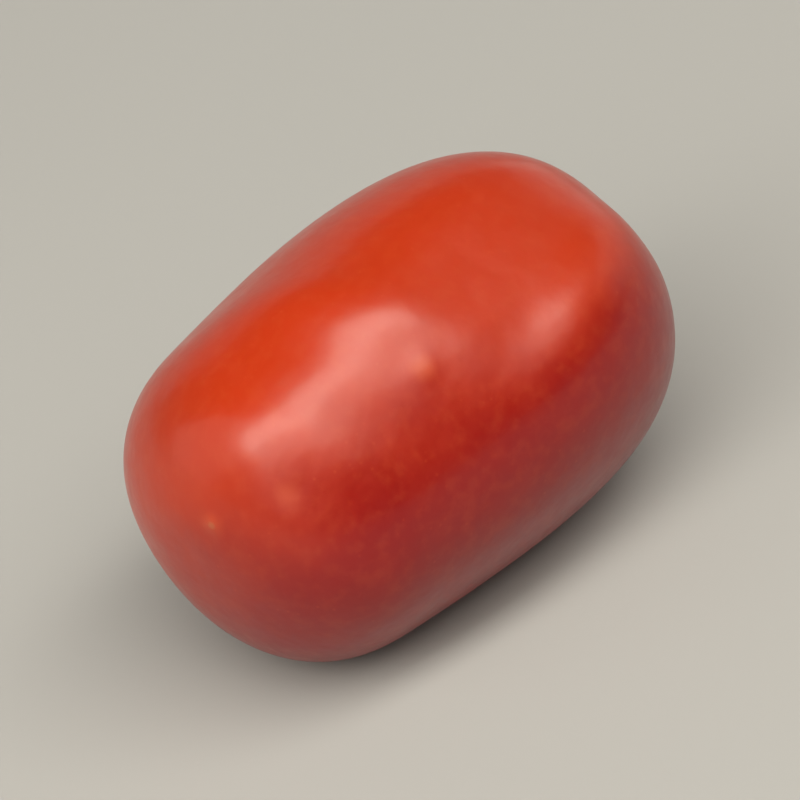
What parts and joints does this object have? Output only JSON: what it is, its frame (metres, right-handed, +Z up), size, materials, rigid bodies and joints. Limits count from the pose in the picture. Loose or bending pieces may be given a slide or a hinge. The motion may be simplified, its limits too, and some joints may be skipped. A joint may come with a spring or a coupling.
{
  "type": "tomato",
  "caption": "Ripe plum tomato lying on its side: a blunt oval fruit with flattish sides, a stem dimple with a corky scar, and a round blossom end.",
  "frame": {"origin": "bottom centre of the fruit, on the surface that it rests on", "axes": "+X along the fruit towards its stem end, +Y across it, +Z up"},
  "size_m": [0.0608, 0.0426, 0.0413],
  "materials": {
    "skin": "smooth waxy tomato skin, satin gloss, orange-red to deep red, with a pale corky stem scar"
  },
  "bodies": {
    "root": {"tomato": "skin"}
  },
  "joints": []
}
